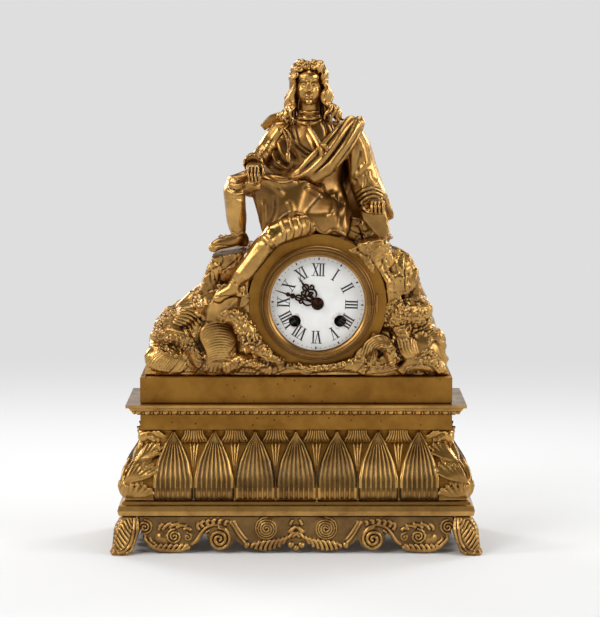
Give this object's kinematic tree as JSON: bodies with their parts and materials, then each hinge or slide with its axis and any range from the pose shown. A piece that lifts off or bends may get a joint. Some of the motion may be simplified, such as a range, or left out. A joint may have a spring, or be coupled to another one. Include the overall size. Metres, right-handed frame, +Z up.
{
  "type": "table clock",
  "caption": "Gilt-bronze table clock: seated figure on rocks and waves round a drum with a white dial, on a stepped base with leaf panels and scrolled feet; striking movement inside",
  "frame": {"origin": "middle of the footprint on the floor", "axes": "+Z up, the dial faces -Y, +X to the viewer's right"},
  "size_m": [0.3492, 0.1428, 0.4629],
  "materials": {
    "gilt_bronze": "burnished and matt gilding",
    "matt_gilt_bronze": "worn matt gilding",
    "brass": "polished",
    "bell_metal": "turned",
    "steel": "polished",
    "browned_steel": "browned",
    "enamel": "white enamel on copper",
    "glass": "clear, domed"
  },
  "bodies": {
    "case": {"foot_front_left": "gilt_bronze", "foot_front_right": "gilt_bronze", "foot_rear_left": "gilt_bronze", "foot_rear_right": "gilt_bronze", "apron_front": "gilt_bronze", "apron_left": "gilt_bronze", "apron_right": "gilt_bronze", "base_moulding": "gilt_bronze", "corner_leaf_left": "gilt_bronze", "corner_leaf_right": "gilt_bronze", "cornice": "gilt_bronze", "rock_terrace": "gilt_bronze", "drum": "gilt_bronze", "figure_torso": "gilt_bronze", "figure_head": "gilt_bronze", "figure_right_arm": "gilt_bronze", "figure_left_arm": "gilt_bronze", "figure_right_leg": "gilt_bronze", "figure_left_leg": "gilt_bronze", "figure_cloak": "gilt_bronze", "base_body": "matt_gilt_bronze", "plinth": "matt_gilt_bronze", "dial_ring": "brass", "rear_bezel": "brass", "front_plate": "brass", "back_plate": "brass", "suspension_cock": "brass", "bell": "bell_metal", "bezel_hinge_pin": "steel", "door_hinge_pin": "steel", "bell_stand": "steel", "dial": "enamel"},
    "front_door": {"front_bezel": "gilt_bronze", "bezel_glass": "glass"},
    "rear_door": {"rear_door": "brass"},
    "minute_hand": {"minute_hand": "browned_steel", "cannon_pinion": "steel", "hand_collet": "brass"},
    "hour_hand": {"hour_hand": "browned_steel", "hour_wheel": "brass"},
    "minute_wheel": {"minute_wheel": "brass"},
    "centre_wheel": {"centre_wheel": "brass"},
    "intermediate_wheel": {"intermediate_wheel": "brass"},
    "going_barrel": {"going_barrel": "brass"},
    "third_wheel": {"third_wheel": "brass"},
    "escape_wheel": {"escape_wheel": "brass"},
    "pendulum": {"pendulum": "brass"},
    "anchor": {"anchor": "steel"},
    "pin_wheel": {"pin_wheel": "brass"},
    "strike_intermediate": {"strike_intermediate_wheel": "brass", "count_wheel": "brass"},
    "strike_barrel": {"strike_barrel": "brass"},
    "locking_wheel": {"locking_wheel": "brass"},
    "fly": {"fly": "brass"},
    "hammer": {"hammer": "steel"},
    "going_winding_arbor": {"going_winding_arbor": "steel"},
    "strike_winding_arbor": {"strike_winding_arbor": "steel"},
    "going_click": {"going_click": "steel"},
    "strike_click": {"strike_click": "steel"}
  },
  "joints": [
    {"name": "front_bezel_hinge", "type": "hinge", "parent": "case", "child": "front_door", "pos_m": [0.0752, -0.0487, 0.236], "axis": [0, 0, 1], "range_deg": [0, 105]},
    {"name": "rear_door_hinge", "type": "hinge", "parent": "case", "child": "rear_door", "pos_m": [-0.0298, 0.051, 0.236], "axis": [0, 0, 1], "range_deg": [0, 110]},
    {"name": "minute_hand_turn", "type": "hinge", "parent": "case", "child": "minute_hand", "pos_m": [0.02, -0.051, 0.236], "axis": [0, 1, 0], "continuous": true},
    {"name": "hour_hand_turn", "type": "hinge", "parent": "case", "child": "hour_hand", "pos_m": [0.02, -0.049, 0.236], "axis": [0, 1, 0], "continuous": true},
    {"name": "minute_wheel_turn", "type": "hinge", "parent": "case", "child": "minute_wheel", "pos_m": [0.02, -0.039, 0.22536], "axis": [0, 1, 0], "continuous": true},
    {"name": "centre_wheel_turn", "type": "hinge", "parent": "case", "child": "centre_wheel", "pos_m": [0.02, 0.0005, 0.236], "axis": [0, 1, 0], "continuous": true},
    {"name": "intermediate_wheel_turn", "type": "hinge", "parent": "case", "child": "intermediate_wheel", "pos_m": [0.03632, -0.003, 0.24089], "axis": [0, 1, 0], "continuous": true},
    {"name": "going_barrel_turn", "type": "hinge", "parent": "case", "child": "going_barrel", "pos_m": [0.04128, -0.015, 0.21938], "axis": [0, 1, 0], "continuous": true},
    {"name": "third_wheel_turn", "type": "hinge", "parent": "case", "child": "third_wheel", "pos_m": [0.01038, -0.013, 0.2497], "axis": [0, 1, 0], "continuous": true},
    {"name": "escape_wheel_turn", "type": "hinge", "parent": "case", "child": "escape_wheel", "pos_m": [0.02, -0.019, 0.26], "axis": [0, 1, 0], "continuous": true},
    {"name": "pendulum_swing", "type": "hinge", "parent": "case", "child": "pendulum", "pos_m": [0.02, 0.0135, 0.274], "axis": [0, 1, 0], "range_deg": [-3.5, 3.5]},
    {"name": "anchor_rock", "type": "hinge", "parent": "case", "child": "anchor", "pos_m": [0.02, 0, 0.274], "axis": [0, 1, 0], "range_deg": [-3.5, 3.5]},
    {"name": "pin_wheel_turn", "type": "hinge", "parent": "case", "child": "pin_wheel", "pos_m": [-0.00962, -0.017, 0.25745], "axis": [0, 1, 0], "continuous": true},
    {"name": "strike_intermediate_turn", "type": "hinge", "parent": "case", "child": "strike_intermediate", "pos_m": [-0.00435, -0.003, 0.24124], "axis": [0, 1, 0], "continuous": true},
    {"name": "strike_barrel_turn", "type": "hinge", "parent": "case", "child": "strike_barrel", "pos_m": [-0.00128, -0.015, 0.21938], "axis": [0, 1, 0], "continuous": true},
    {"name": "locking_wheel_turn", "type": "hinge", "parent": "case", "child": "locking_wheel", "pos_m": [-0.00042, -0.023, 0.26516], "axis": [0, 1, 0], "continuous": true},
    {"name": "fly_turn", "type": "hinge", "parent": "case", "child": "fly", "pos_m": [0.00225, -0.012, 0.27513], "axis": [0, 1, 0], "continuous": true},
    {"name": "hammer_lift", "type": "hinge", "parent": "case", "child": "hammer", "pos_m": [-0.0215, 0, 0.245], "axis": [0, 1, 0], "range_deg": [0, 14], "stiffness_Nm_per_rad": 0.006, "springref_deg": -28.65},
    {"name": "going_winding_turn", "type": "hinge", "parent": "case", "child": "going_winding_arbor", "pos_m": [0.04128, -0.036, 0.21938], "axis": [0, 1, 0], "continuous": true},
    {"name": "strike_winding_turn", "type": "hinge", "parent": "case", "child": "strike_winding_arbor", "pos_m": [-0.00128, -0.036, 0.21938], "axis": [0, 1, 0], "continuous": true},
    {"name": "going_click_lift", "type": "hinge", "parent": "case", "child": "going_click", "pos_m": [0.05306, -0.036, 0.21388], "axis": [0, 1, 0], "range_deg": [0, 12], "stiffness_Nm_per_rad": 0.00002, "springref_deg": -28.65},
    {"name": "strike_click_lift", "type": "hinge", "parent": "case", "child": "strike_click", "pos_m": [-0.01306, -0.036, 0.21388], "axis": [0, 1, 0], "range_deg": [0, 12], "stiffness_Nm_per_rad": 0.00002, "springref_deg": -28.65}
  ],
  "couplings": [
    {"joint": "hour_hand_turn", "follows": "minute_hand_turn", "ratio": 0.083333},
    {"joint": "minute_wheel_turn", "follows": "minute_hand_turn", "ratio": -0.33333},
    {"joint": "intermediate_wheel_turn", "follows": "centre_wheel_turn", "ratio": -0.16667},
    {"joint": "going_barrel_turn", "follows": "centre_wheel_turn", "ratio": 0.027778},
    {"joint": "third_wheel_turn", "follows": "centre_wheel_turn", "ratio": -10},
    {"joint": "escape_wheel_turn", "follows": "centre_wheel_turn", "ratio": 100},
    {"joint": "anchor_rock", "follows": "pendulum_swing", "ratio": 1},
    {"joint": "strike_intermediate_turn", "follows": "pin_wheel_turn", "ratio": -0.16667},
    {"joint": "strike_barrel_turn", "follows": "pin_wheel_turn", "ratio": 0.027778},
    {"joint": "locking_wheel_turn", "follows": "pin_wheel_turn", "ratio": -6},
    {"joint": "fly_turn", "follows": "pin_wheel_turn", "ratio": 36}
  ]
}
